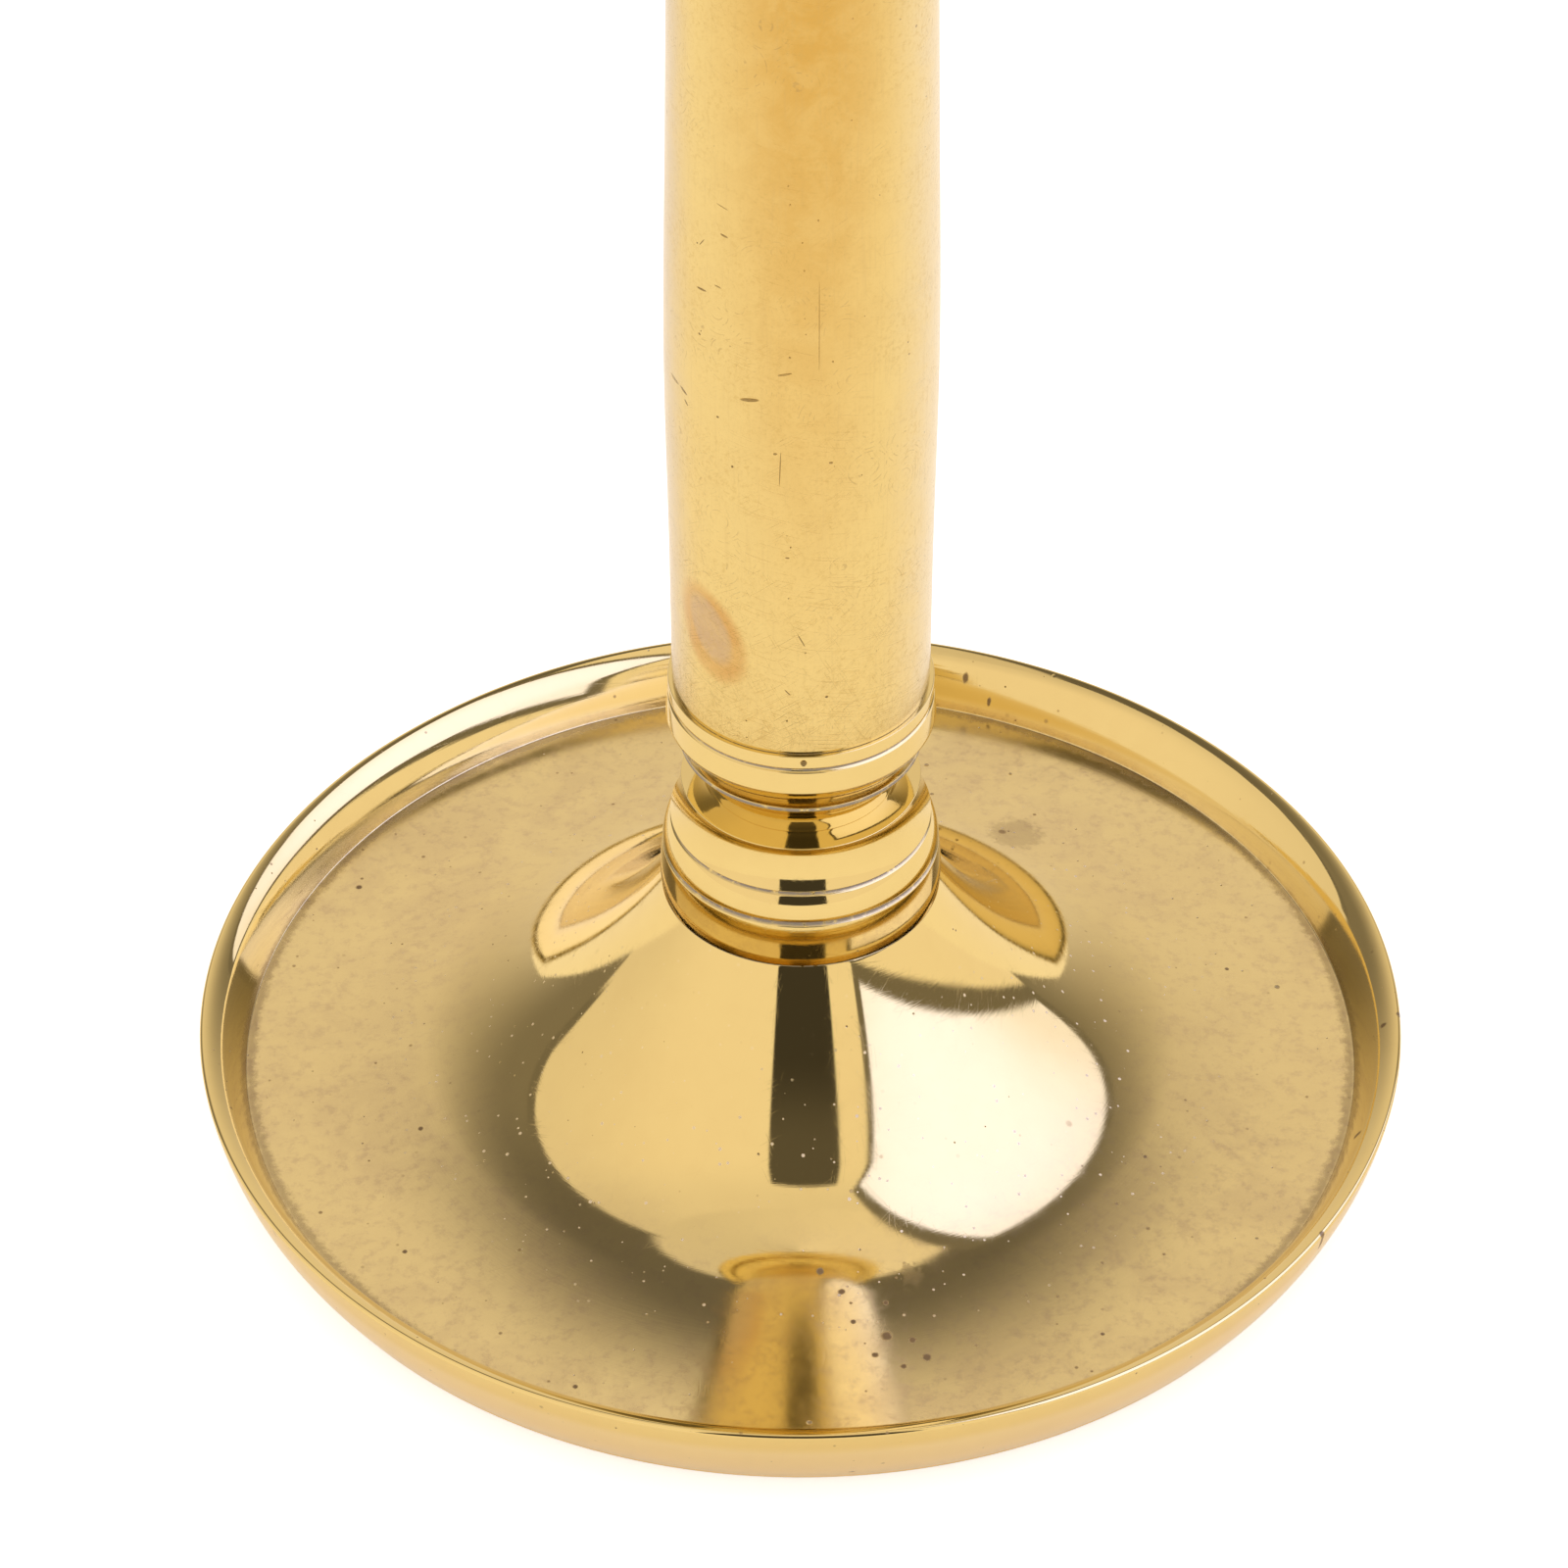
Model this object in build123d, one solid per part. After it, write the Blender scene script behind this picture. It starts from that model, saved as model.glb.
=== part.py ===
from build123d import *
from math import acos, asin, cos, degrees, radians, sin
import os

# Turned brass candlestick: a saucer base with a trumpet-shaped crown, a stem of one plain swelling
# tube, a drip pan and a candle nozzle. A push rod runs down the hollow stem, from an ejector disc
# under the candle to a knob hidden below the crown.
# Millimetres. +Z is up along the stem. The origin is the centre of the foot ring, on the table.
# Outlines are half sections, as (radius, height). Threads are drawn as plain cylinders.

# ---- saucer base ----
RIM_R = 75.0                 # widest circle of the saucer
RIM_Z = 11.0                 # height of that circle
RIM_TOP_R = 74.55            # highest circle of the rim
RIM_TOP_Z = 11.6
WALL_MIDDLE = (70.65, 7.57)  # the inner wall bows slightly inward here
LIP_R = 72.1                 # inner edge of the bevelled lip
LIP_Z = 10.0
FOOT_OUTER_R = 70.6
FOOT_INNER_R = 68.0
FOOT_ROUND = 0.5             # height of the rounding under the outer wall
FLOOR_THICKNESS = 2.4
CROWN_R = 16.9               # where the crown meets the collar above it
CROWN_Z = 33.4
CROWN_THICKNESS = 3.0
FLOOR_SLOPES = (60.1, 41.2, 10.9, 0.4)     # degrees below level, from the crown to the crease
FLOOR_RADII = (75.0, 31.0, 123.3)          # arc radius between each two slopes

# ---- joints between the turned pieces, from the base up ----
COLLAR_TOP_Z = 50.0
NECK_TOP_Z = 56.4
NECK_TIP_R = 14.6            # where the neck meets the lower ferrule
TUBE_BOTTOM_Z = 65.5
TUBE_TOP_Z = 178.0
UPPER_FERRULE_TOP_Z = 188.0
PAN_SEAT_Z = 199.5           # floor of the drip pan
NOZZLE_TOP_Z = 206.0

# ---- stem ----
TUBE_FOOT_R = 15.5
TUBE_LOW_R = 15.62
TUBE_SWELL_R = 15.93
TUBE_HIGH_R = 15.42
TUBE_HEAD_R = 14.9
TUBE_BORE_R = 13.7
SPIGOT_R = 13.65             # ferrule spigots slide into the tube's two ends
SPIGOT_LENGTH = 4.5
GROOVE_DEPTH = 0.35

# ---- drip pan and nozzle ----
DRIP_RIM_R = 34.0
DRIP_RIM_Z = 203.4
CANDLE_BORE_R = 11.25        # takes a 22 mm candle
CANDLE_BORE_DEPTH = 27.5
NOZZLE_BODY_R = 12.7
COUNTERBORE_R = 12.0         # foot of the nozzle, opened out for the floor plug
MOUTH_CHAMFER = 0.5
DISC_RECESS_R = 9.6
DISC_RECESS_DEPTH = 2.5
FLOOR_WEB = 2.5              # metal under the recess

# ---- push rod and its guide ----
ROD_R = 2.5
SLIDE_CLEARANCE = 0.05
FIT_CLEARANCE = 0.05         # radial gap where one fixed piece screws or presses into another
STUB_R = 6.0
STUB_BORE_R = 4.2
STUB_BOTTOM_Z = 25.3
STUB_SEAT_Z = 60.5           # the stub's head bears on the lower ferrule's floor here
STUB_HEAD_R = 9.5
STUB_HEAD = 2.5
STUB_TOP_Z = 70.0
GLAND_R = 5.2
GLAND_DEPTH = 6.0
PACKING = 3.4                # height of the leather packing
WASHER_R = 12.0
WASHER = 1.0
NUT_WIDTH = 17.0
NUT = 3.5
BUSH_LENGTH = 8.0
KNOB_R = 7.0
KNOB_BOTTOM_Z = 2.0
KNOB_TOP_Z = 7.5
PIN_R = 0.8
PIN_Z = 5.4
DISC_R = 9.3
DISC = 2.3
DISC_GAP = 0.1               # above the recess floor
TENON_R = 1.7
DISC_COLLAR_R = 4.2
DISC_COLLAR = 3.0

CANDLE_FLOOR_Z = NOZZLE_TOP_Z - MOUTH_CHAMFER - CANDLE_BORE_DEPTH
RECESS_FLOOR_Z = CANDLE_FLOOR_Z - DISC_RECESS_DEPTH
NOZZLE_BOTTOM_Z = RECESS_FLOOR_Z - FLOOR_WEB
DISC_BOTTOM_Z = RECESS_FLOOR_Z + DISC_GAP
CROWN_UNDER_Z = CROWN_Z - CROWN_THICKNESS
WASHER_UNDER_Z = CROWN_UNDER_Z - WASHER
STUB_HOLE_R = STUB_R + FIT_CLEARANCE


def lathe(*edges):
    """Spin a closed half section of (radius, height) edges round the stem's axis."""
    section = make_face(Curve() + list(edges))
    return revolve(Plane.XZ * section, axis=Axis.Z)


def ring(inner_r, outer_r, bottom_z, top_z):
    """A plain cylinder with a hole through it."""
    corners = [(inner_r, bottom_z), (outer_r, bottom_z), (outer_r, top_z), (inner_r, top_z)]
    return lathe(Polyline(*corners, close=True))


def tangent_arcs(start, slopes, radii):
    """Arcs that run outward and down from start, each meeting the next at a common slope."""
    edges = []
    r, z = start
    for steep, shallow, radius in zip(slopes, slopes[1:], radii):
        def at(slope):
            out = radius * (sin(radians(steep)) - sin(radians(slope)))
            down = radius * (cos(radians(slope)) - cos(radians(steep)))
            return (r + out, z - down)
        end = at(shallow)
        edges.append(ThreePointArc((r, z), at((steep + shallow) / 2), end))
        r, z = end
    return edges


def v_groove(r, z, width):
    """Corners of a turned groove, from its upper edge to its lower edge."""
    return [(r, z + width / 2), (r - GROOVE_DEPTH, z), (r, z - width / 2)]


def base_pan():
    """Cast saucer: trumpet crown, flat floor, steep wall and bevelled lip, hollow underneath."""
    top = tangent_arcs((CROWN_R, CROWN_Z), FLOOR_SLOPES, FLOOR_RADII)
    crease = top[-1] @ 1

    # The underside keeps FLOOR_THICKNESS below the floor, from the flat crown to the foot ring.
    steep = radians(FLOOR_SLOPES[0])
    first_r = CROWN_R - FLOOR_THICKNESS * sin(steep)
    first_z = CROWN_Z - FLOOR_THICKNESS * cos(steep)
    radii = [radius + FLOOR_THICKNESS for radius in FLOOR_RADII]
    crown_slope = acos(cos(steep) + (first_z - CROWN_UNDER_Z) / radii[0])
    crown_edge = (first_r + radii[0] * (sin(steep) - sin(crown_slope)), CROWN_UNDER_Z)
    under = tangent_arcs(crown_edge, (degrees(crown_slope), *FLOOR_SLOPES[1:3]), radii[:2])
    bend = under[-1] @ 1
    foot_slope = asin(sin(radians(FLOOR_SLOPES[2])) - (FOOT_INNER_R - bend.X) / radii[2])
    under += tangent_arcs((bend.X, bend.Y), (FLOOR_SLOPES[2], degrees(foot_slope)), radii[2:])
    foot_corner = under[-1] @ 1

    wall_foot = (FOOT_OUTER_R, FOOT_ROUND)
    return lathe(
        Line((STUB_HOLE_R, CROWN_Z), (CROWN_R, CROWN_Z)),
        *top,
        ThreePointArc((crease.X, crease.Y), WALL_MIDDLE, (LIP_R, LIP_Z)),
        ThreePointArc((LIP_R, LIP_Z), (73.25, 11.05), (RIM_TOP_R, RIM_TOP_Z)),
        ThreePointArc((RIM_TOP_R, RIM_TOP_Z), (74.9, 11.45), (RIM_R, RIM_Z)),
        ThreePointArc((RIM_R, RIM_Z), (73.4, 5.4), wall_foot),
        ThreePointArc(wall_foot, (70.45, 0.15), (FOOT_OUTER_R - FOOT_ROUND, 0)),
        Line((FOOT_OUTER_R - FOOT_ROUND, 0), (FOOT_INNER_R, 0)),
        Line((FOOT_INNER_R, 0), (foot_corner.X, foot_corner.Y)),
        *under,
        Line(crown_edge, (STUB_HOLE_R, CROWN_UNDER_Z)),
        Line((STUB_HOLE_R, CROWN_UNDER_Z), (STUB_HOLE_R, CROWN_Z)),
    )


def base_collar():
    """Tall ring on the crown: two barrel bands and a flaring top, parted by grooves, cored out."""
    foot = (17.0, CROWN_Z)
    low_groove = v_groove(16.9, 40.0, 0.8)
    high_groove = v_groove(15.95, 44.0, 0.7)
    top = (14.6, COLLAR_TOP_Z)
    core_r = 12.0
    core_top_z = 46.0
    return lathe(
        ThreePointArc(foot, (17.2, 36.4), low_groove[2]),
        Polyline(*reversed(low_groove)),
        ThreePointArc(low_groove[0], (16.58, 42.1), high_groove[2]),
        Polyline(*reversed(high_groove)),
        ThreePointArc(high_groove[0], (15.0, 46.8), top),
        Polyline(top, (STUB_HOLE_R, COLLAR_TOP_Z), (STUB_HOLE_R, core_top_z), (core_r, core_top_z)),
        Polyline((core_r, core_top_z), (core_r, CROWN_Z), foot),
    )


def neck_ring():
    """Narrow neck on the collar's flat top, which flares up to a small bead under the ferrule."""
    wall_r = 11.4
    wall_top = (wall_r, COLLAR_TOP_Z + 0.9)
    under_bead = (14.3, 55.5)
    over_bead = (NECK_TIP_R, NECK_TOP_Z)
    return lathe(
        Line((wall_r, COLLAR_TOP_Z), wall_top),
        ThreePointArc(wall_top, (12.2, 53.5), under_bead),
        ThreePointArc(under_bead, (14.75, 55.9), over_bead),
        Polyline(
            over_bead,
            (STUB_HOLE_R, NECK_TOP_Z),
            (STUB_HOLE_R, COLLAR_TOP_Z),
            (wall_r, COLLAR_TOP_Z),
        ),
    )


def ferrule_outside(side, joint_z, joint_r, tip_z, tip_r):
    """Outer edges of a ferrule from its joint with the tube to its tip. side is -1 or +1 in Z."""
    widest = joint_r + 0.3
    groove_z = joint_z + side * 2.1
    shoulder = (widest, joint_z + side * 5.5)
    near = (joint_r + 0.15, groove_z - side * 0.3)
    deep = (joint_r + 0.15 - GROOVE_DEPTH, groove_z)
    far = (joint_r + 0.2, groove_z + side * 0.3)
    tip = (tip_r, tip_z)
    hollow = ((widest + tip_r) / 2 - 0.2, (shoulder[1] + tip_z) / 2)
    return [
        ThreePointArc((joint_r, joint_z), (joint_r + 0.15, joint_z + side * 0.9), near),
        Polyline(near, deep, far),
        ThreePointArc(far, (widest + 0.05, joint_z + side * 3.9), shoulder),
        ThreePointArc(shoulder, hollow, tip),
    ]


def lower_ferrule():
    """Cup that carries the stem: cavetto below, band, groove, and a spigot up into the tube."""
    joint_r = 16.0
    spigot_bore_r = 12.2
    spigot_top_z = TUBE_BOTTOM_Z + SPIGOT_LENGTH
    return lathe(
        *ferrule_outside(-1, TUBE_BOTTOM_Z, joint_r, NECK_TOP_Z, NECK_TIP_R),
        Polyline((NECK_TIP_R, NECK_TOP_Z), (STUB_HOLE_R, NECK_TOP_Z), (STUB_HOLE_R, STUB_SEAT_Z)),
        Polyline((STUB_HOLE_R, STUB_SEAT_Z), (spigot_bore_r, STUB_SEAT_Z), (spigot_bore_r, spigot_top_z)),
        Polyline((spigot_bore_r, spigot_top_z), (SPIGOT_R, spigot_top_z), (SPIGOT_R, TUBE_BOTTOM_Z)),
        Line((SPIGOT_R, TUBE_BOTTOM_Z), (joint_r, TUBE_BOTTOM_Z)),
    )


def stem_tube():
    """Plain cast tube that swells at mid height and narrows towards the top."""
    foot = (TUBE_FOOT_R, TUBE_BOTTOM_Z)
    head = (TUBE_HEAD_R, TUBE_TOP_Z)
    return lathe(
        Spline(foot, (TUBE_LOW_R, 85), (TUBE_SWELL_R, 115), (TUBE_HIGH_R, 148), head),
        Polyline(head, (TUBE_BORE_R, TUBE_TOP_Z), (TUBE_BORE_R, TUBE_BOTTOM_Z), foot),
    )


def upper_ferrule():
    """The lower ferrule's mirror image, bored right through for the nozzle."""
    joint_r = 15.35
    tip_r = 14.4
    bore_r = NOZZLE_BODY_R + FIT_CLEARANCE
    spigot_bottom_z = TUBE_TOP_Z - SPIGOT_LENGTH
    return lathe(
        *ferrule_outside(1, TUBE_TOP_Z, joint_r, UPPER_FERRULE_TOP_Z, tip_r),
        Polyline((tip_r, UPPER_FERRULE_TOP_Z), (bore_r, UPPER_FERRULE_TOP_Z), (bore_r, spigot_bottom_z)),
        Polyline((bore_r, spigot_bottom_z), (SPIGOT_R, spigot_bottom_z), (SPIGOT_R, TUBE_TOP_Z)),
        Line((SPIGOT_R, TUBE_TOP_Z), (joint_r, TUBE_TOP_Z)),
    )


def drip_pan():
    """Shallow dish that flares from the ferrule and catches wax, with a rounded rim."""
    bore_r = NOZZLE_BODY_R + FIT_CLEARANCE
    foot = (14.7, UPPER_FERRULE_TOP_Z)
    bend = (28.0, 199.0)
    rim_out = (DRIP_RIM_R, DRIP_RIM_Z - 0.7)
    rim_top = (DRIP_RIM_R - 0.7, DRIP_RIM_Z)
    rim_in = (DRIP_RIM_R - 1.4, DRIP_RIM_Z - 0.6)
    floor_edge = (29.0, 200.9)
    seat_edge = (17.5, PAN_SEAT_Z)
    return lathe(
        ThreePointArc(foot, (18.2, 195.9), bend),
        ThreePointArc(bend, (31.3, 200.1), rim_out),
        ThreePointArc(rim_out, (DRIP_RIM_R - 0.2, DRIP_RIM_Z - 0.2), rim_top),
        ThreePointArc(rim_top, (DRIP_RIM_R - 1.2, DRIP_RIM_Z - 0.2), rim_in),
        ThreePointArc(rim_in, (31.0, 201.6), floor_edge),
        ThreePointArc(floor_edge, (23.5, 199.9), seat_edge),
        Polyline(seat_edge, (bore_r, PAN_SEAT_Z), (bore_r, UPPER_FERRULE_TOP_Z), foot),
    )


def candle_nozzle():
    """Open sleeve for the candle, with a rolled lip above the drip pan."""
    flange = (17.0, PAN_SEAT_Z)
    waist = (14.0, 202.6)
    lip_under = (14.3, 203.6)
    lip_top = (12.9, NOZZLE_TOP_Z)
    mouth_r = CANDLE_BORE_R + MOUTH_CHAMFER
    return lathe(
        ThreePointArc(flange, (14.6, 200.8), waist),
        Line(waist, lip_under),
        ThreePointArc(lip_under, (14.4, 205.1), lip_top),
        Polyline(lip_top, (mouth_r, NOZZLE_TOP_Z), (CANDLE_BORE_R, NOZZLE_TOP_Z - MOUTH_CHAMFER)),
        Polyline(
            (CANDLE_BORE_R, NOZZLE_TOP_Z - MOUTH_CHAMFER),
            (CANDLE_BORE_R, CANDLE_FLOOR_Z),
            (COUNTERBORE_R, CANDLE_FLOOR_Z),
            (COUNTERBORE_R, NOZZLE_BOTTOM_Z),
            (NOZZLE_BODY_R, NOZZLE_BOTTOM_Z),
            (NOZZLE_BODY_R, PAN_SEAT_Z),
            flange,
        ),
    )


def socket_floor():
    """Plug sweated into the foot of the nozzle, recessed for the ejector disc."""
    plug_r = COUNTERBORE_R - FIT_CLEARANCE
    hole_r = DISC_COLLAR_R + 0.4
    corners = [
        (plug_r, CANDLE_FLOOR_Z),
        (DISC_RECESS_R, CANDLE_FLOOR_Z),
        (DISC_RECESS_R, RECESS_FLOOR_Z),
        (hole_r, RECESS_FLOOR_Z),
        (hole_r, NOZZLE_BOTTOM_Z),
        (plug_r, NOZZLE_BOTTOM_Z),
    ]
    return lathe(Polyline(*corners, close=True))


def neck_stub():
    """Hollow threaded stud: its head pulls the ferrule, neck and collar down onto the crown."""
    boss_r = GLAND_R + 2.0
    head_top_z = STUB_SEAT_Z + STUB_HEAD
    gland_floor_z = STUB_TOP_Z - GLAND_DEPTH
    return lathe(
        Polyline(
            (STUB_BORE_R, STUB_BOTTOM_Z),
            (STUB_R, STUB_BOTTOM_Z),
            (STUB_R, STUB_SEAT_Z),
            (STUB_HEAD_R, STUB_SEAT_Z),
            (STUB_HEAD_R, head_top_z),
            (boss_r, head_top_z),
            (boss_r, STUB_TOP_Z),
            (GLAND_R, STUB_TOP_Z),
            (GLAND_R, gland_floor_z),
            (STUB_BORE_R, gland_floor_z),
            close=True,
        )
    )


def base_washer():
    """Wide iron washer under the crown."""
    return ring(STUB_HOLE_R, WASHER_R, WASHER_UNDER_Z, CROWN_UNDER_Z)


def base_nut():
    """Square iron nut on the stub, which holds the whole stem to the base."""
    centre = Pos(0, 0, WASHER_UNDER_Z - NUT / 2)
    square = centre * Box(NUT_WIDTH, NUT_WIDTH, NUT)
    round_off = centre * Cylinder(NUT_WIDTH * 0.64, NUT)
    hole = centre * Cylinder(STUB_HOLE_R, NUT)
    return (square & round_off) - hole


def rod_guide_bush():
    """Plain bush pressed into the stub's lower end, which guides the rod."""
    outer_r = STUB_BORE_R - 0.03
    return ring(ROD_R + SLIDE_CLEARANCE, outer_r, STUB_BOTTOM_Z, STUB_BOTTOM_Z + BUSH_LENGTH)


def friction_packing():
    """Leather ring squeezed round the rod, so that the ejector stays where it is pushed."""
    floor_z = STUB_TOP_Z - GLAND_DEPTH
    outer_r = GLAND_R - FIT_CLEARANCE
    return ring(ROD_R + SLIDE_CLEARANCE, outer_r, floor_z, floor_z + PACKING)


def gland_nut():
    """Screwed plug with a six-sided head, which squeezes the packing."""
    plug_bottom_z = STUB_TOP_Z - GLAND_DEPTH + PACKING
    head = 3.0
    head_across_corners_r = 7.4
    bore_r = ROD_R + 0.2
    plug = ring(bore_r, GLAND_R - FIT_CLEARANCE, plug_bottom_z, STUB_TOP_Z)
    hexagon = extrude(RegularPolygon(head_across_corners_r, 6), head)
    bore = extrude(Circle(bore_r), head)
    return plug + Pos(0, 0, STUB_TOP_Z) * (hexagon - bore)


def ejector_rod():
    """Straight steel rod from the knob to the disc, with a tenon at its top and a pin hole."""
    bottom_z = KNOB_BOTTOM_Z + 1.6
    tenon_top_z = DISC_BOTTOM_Z + DISC
    rod = lathe(
        Polyline(
            (0, bottom_z),
            (ROD_R, bottom_z),
            (ROD_R, DISC_BOTTOM_Z),
            (TENON_R, DISC_BOTTOM_Z),
            (TENON_R, tenon_top_z),
            (0, tenon_top_z),
            close=True,
        )
    )
    return rod - cross_hole()


def ejector_disc():
    """Flat disc under the candle, with a softened upper edge."""
    top_z = DISC_BOTTOM_Z + DISC
    soften = 0.5
    return lathe(
        Polyline(
            (TENON_R + 0.02, DISC_BOTTOM_Z),
            (DISC_R, DISC_BOTTOM_Z),
            (DISC_R, top_z - soften),
            (DISC_R - soften, top_z),
            (TENON_R + 0.02, top_z),
            close=True,
        )
    )


def disc_collar():
    """Boss soldered round the rod under the disc."""
    return ring(ROD_R + 0.02, DISC_COLLAR_R, DISC_BOTTOM_Z - DISC_COLLAR, DISC_BOTTOM_Z)


def cross_hole():
    """Round bar along X that cuts the pin's hole through the knob and the rod."""
    return Pos(0, 0, PIN_Z) * Rot(0, 90, 0) * Cylinder(PIN_R + 0.02, 3 * KNOB_R)


def ejector_knob():
    """Turned button on the rod's lower end, pressed with a finger from below."""
    socket_r = ROD_R + 0.02
    socket_floor_z = KNOB_BOTTOM_Z + 1.6
    neck = (4.6, KNOB_TOP_Z)
    shoulder = (KNOB_R, 6.3)
    side = (KNOB_R, 4.2)
    face_edge = (5.4, KNOB_BOTTOM_Z)
    knob = lathe(
        Polyline((0, KNOB_BOTTOM_Z), face_edge),
        ThreePointArc(face_edge, (6.6, 2.8), side),
        Polyline(side, shoulder),
        ThreePointArc(shoulder, (5.6, 6.8), neck),
        Polyline(neck, (socket_r, KNOB_TOP_Z), (socket_r, socket_floor_z), (0, socket_floor_z)),
        Line((0, socket_floor_z), (0, KNOB_BOTTOM_Z)),
    )
    return knob - cross_hole()


def knob_pin():
    """Pin driven across the knob and rod, filed flush on both sides."""
    return Pos(0, 0, PIN_Z) * Rot(0, 90, 0) * Cylinder(PIN_R, 2 * KNOB_R - 0.4)


PIECES = [
    base_pan, base_collar, neck_ring, lower_ferrule, stem_tube, upper_ferrule, drip_pan,
    candle_nozzle, socket_floor, neck_stub, base_washer, base_nut, rod_guide_bush, friction_packing,
    gland_nut, ejector_rod, ejector_disc, disc_collar, ejector_knob, knob_pin,
]

os.makedirs("parts", exist_ok=True)
for make in PIECES:
    export_step(make(), f"parts/{make.__name__}.step")
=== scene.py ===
import math

import bpy
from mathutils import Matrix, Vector, noise


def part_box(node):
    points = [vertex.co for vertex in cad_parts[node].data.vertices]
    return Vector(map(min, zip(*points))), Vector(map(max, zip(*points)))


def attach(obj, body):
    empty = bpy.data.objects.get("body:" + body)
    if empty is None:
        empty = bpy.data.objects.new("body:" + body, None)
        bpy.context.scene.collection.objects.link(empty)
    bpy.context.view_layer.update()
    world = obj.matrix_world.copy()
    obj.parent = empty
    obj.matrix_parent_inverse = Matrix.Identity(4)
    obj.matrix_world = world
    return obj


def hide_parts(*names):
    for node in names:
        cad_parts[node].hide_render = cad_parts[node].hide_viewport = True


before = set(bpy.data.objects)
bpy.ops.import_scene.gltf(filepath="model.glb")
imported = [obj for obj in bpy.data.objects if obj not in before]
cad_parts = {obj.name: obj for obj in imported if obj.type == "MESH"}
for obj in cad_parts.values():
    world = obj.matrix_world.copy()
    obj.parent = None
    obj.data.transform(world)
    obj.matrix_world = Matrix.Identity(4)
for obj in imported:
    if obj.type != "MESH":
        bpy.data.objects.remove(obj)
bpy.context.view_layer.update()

# Outlines are half sections in millimetres, as (radius, height); meshes are written in metres.
# Azimuth 0 faces the camera (-Y) and grows towards +X; it is in degrees unless a name says otherwise.
MM = 0.001
SEGMENTS = 384                        # facets round each turned piece
HARD_EDGE = math.radians(40)          # edges that turn more than this stay sharp in the shading
CORNER_TURN = 16                      # degrees; corners of an outline sharper than this are eased

# heights at which the turned pieces meet
CROWN_Z = 33.4
COLLAR_TOP_Z = 50.0
NECK_TOP_Z = 56.4
STEM_FOOT_Z = 65.5
STEM_TOP_Z = 178.0
DISH_FOOT_Z = 188.0
DISH_TOP_Z = 199.5
NOZZLE_TOP_Z = 206.0

# radii that neighbouring pieces share
STUD_BORE_R = 6.05
NECK_TIP_R = 14.6
SPIGOT_R = 13.65                      # outside of each ferrule's spigot, in the stem
NOZZLE_R = 12.75                      # bore of the upper ferrule and of the drip dish
CREASE_R = 69.1                       # where the saucer's floor meets its wall
STEM_MEAN_R = 15.8                    # marks on the stem are laid out on this radius

# (radius, height, width) of cut grooves that hold dried polish
LOW_GROOVE = (16.9, 40.0, 0.8)
HIGH_GROOVE = (15.95, 44.0, 0.7)
FERRULE_GROOVE_OFFSET = 2.1           # from a ferrule's joint with the stem to its groove


# ---------------------------------------------------------------- outlines

def line(a, b, step=1.5):
    """Points from a towards b, without b."""
    n = max(1, round(math.dist(a, b) / step))
    return [(a[0] + (b[0] - a[0]) * i / n, a[1] + (b[1] - a[1]) * i / n) for i in range(n)]


def corners(*points, step=1.5):
    """Straight runs through these points, without the last one."""
    run = []
    for a, b in zip(points, points[1:]):
        run += line(a, b, step)
    return run


def arc(a, via, b, step=0.35):
    """Points on the circle through three points, from a towards b, without b."""
    ax, ay = a[0] - via[0], a[1] - via[1]
    bx, by = b[0] - via[0], b[1] - via[1]
    d = 2 * (ax * by - ay * bx)
    a2, b2 = ax * ax + ay * ay, bx * bx + by * by
    cx = via[0] + (by * a2 - ay * b2) / d
    cy = via[1] + (ax * b2 - bx * a2) / d
    radius = math.dist((cx, cy), a)
    start = math.atan2(a[1] - cy, a[0] - cx)
    middle = math.atan2(via[1] - cy, via[0] - cx)
    end = math.atan2(b[1] - cy, b[0] - cx)
    full = 2 * math.pi
    turn = (end - start) % full
    if (middle - start) % full > turn:
        turn -= full
    n = max(2, math.ceil(abs(turn) * radius / step))
    return [
        (cx + radius * math.cos(start + turn * i / n), cy + radius * math.sin(start + turn * i / n))
        for i in range(n)
    ]


def spline(points, step=0.9):
    """Smooth curve through the points, without the last one."""
    run = []
    padded = [points[0]] + list(points) + [points[-1]]
    for p0, p1, p2, p3 in zip(padded, padded[1:], padded[2:], padded[3:]):
        n = max(1, round(math.dist(p1, p2) / step))
        for i in range(n):
            t = i / n
            run.append(tuple(
                0.5 * (2 * b + (c - a) * t + (2 * a - 5 * b + 4 * c - d) * t * t
                       + (3 * b - a - 3 * c + d) * t ** 3)
                for a, b, c, d in zip(p0, p1, p2, p3)
            ))
    return run


def falling_arcs(start, slopes, radii, step=0.45):
    """Tangent arcs that fall away from start; slopes are degrees below level. Returns run and end."""
    run = []
    r, z = start
    for radius, steep, shallow in zip(radii, slopes, slopes[1:]):
        a0, a1 = math.radians(steep), math.radians(shallow)
        n = max(2, math.ceil(abs(a1 - a0) * radius / step))
        for i in range(n):
            a = a0 + (a1 - a0) * i / n
            run.append((
                r + radius * (math.sin(a0) - math.sin(a)), z - radius * (math.cos(a) - math.cos(a0))
            ))
        r += radius * (math.sin(a0) - math.sin(a1))
        z -= radius * (math.cos(a1) - math.cos(a0))
    return run, (r, z)


def offset_below(run, distance):
    """The run moved straight into the metal under it."""
    moved = []
    for i, p in enumerate(run):
        a, b = run[max(0, i - 1)], run[min(len(run) - 1, i + 1)]
        dr, dz = b[0] - a[0], b[1] - a[1]
        size = math.hypot(dr, dz)
        moved.append((p[0] + dz / size * distance, p[1] - dr / size * distance))
    return moved


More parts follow.
